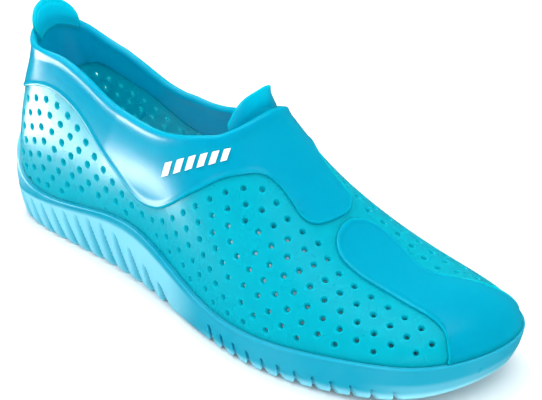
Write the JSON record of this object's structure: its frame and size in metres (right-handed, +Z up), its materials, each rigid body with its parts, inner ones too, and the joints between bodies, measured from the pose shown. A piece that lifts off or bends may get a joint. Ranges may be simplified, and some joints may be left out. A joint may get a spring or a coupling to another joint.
{
  "type": "slip-on water shoe",
  "caption": "Right-foot slip-on water shoe in soft translucent plastic, with perforated sides, a short tongue, a heel pull tab and a fluted sole.",
  "frame": {"origin": "centre of the bounding box, on the ground under the sole", "axes": "+X from heel to toe, +Y to the medial (inner) side of this right shoe, +Z up"},
  "size_m": [0.2778, 0.0936, 0.1084],
  "materials": {
    "upper_plastic": "soft translucent cyan PVC, glossy",
    "panel_plastic": "thin translucent cyan PVC, glossy, perforated",
    "sole_plastic": "pale translucent PVC",
    "footbed_foam": "pale soft sheet",
    "emblem_print": "white print"
  },
  "bodies": {
    "shoe": {"outsole": "sole_plastic", "heel_tread_lugs": "sole_plastic", "forefoot_tread_lugs": "sole_plastic", "heel_bumper": "sole_plastic", "footbed": "footbed_foam", "perforated_panel_lateral": "panel_plastic", "perforated_panel_medial": "panel_plastic", "quarter_lateral": "upper_plastic", "quarter_medial": "upper_plastic", "instep_saddle": "upper_plastic", "toe_spine": "upper_plastic", "toe_cap": "upper_plastic", "heel_ledge": "upper_plastic", "side_emblem_lateral": "emblem_print", "side_emblem_medial": "emblem_print"},
    "pull_tab": {"heel_pull_tab": "upper_plastic"},
    "tongue_flap": {"tongue": "upper_plastic"}
  },
  "joints": [
    {"name": "pull_tab_fold", "type": "hinge", "parent": "shoe", "child": "pull_tab", "pos_m": [-0.1212, 0.0029, 0.0983], "axis": [0, -1, 0], "range_deg": [0, 40], "stiffness_Nm_per_rad": 0.02},
    {"name": "tongue_flex", "type": "hinge", "parent": "shoe", "child": "tongue_flap", "pos_m": [0.0179, 0.0029, 0.0905], "axis": [0, 1, 0], "range_deg": [0, 15], "stiffness_Nm_per_rad": 0.05}
  ]
}
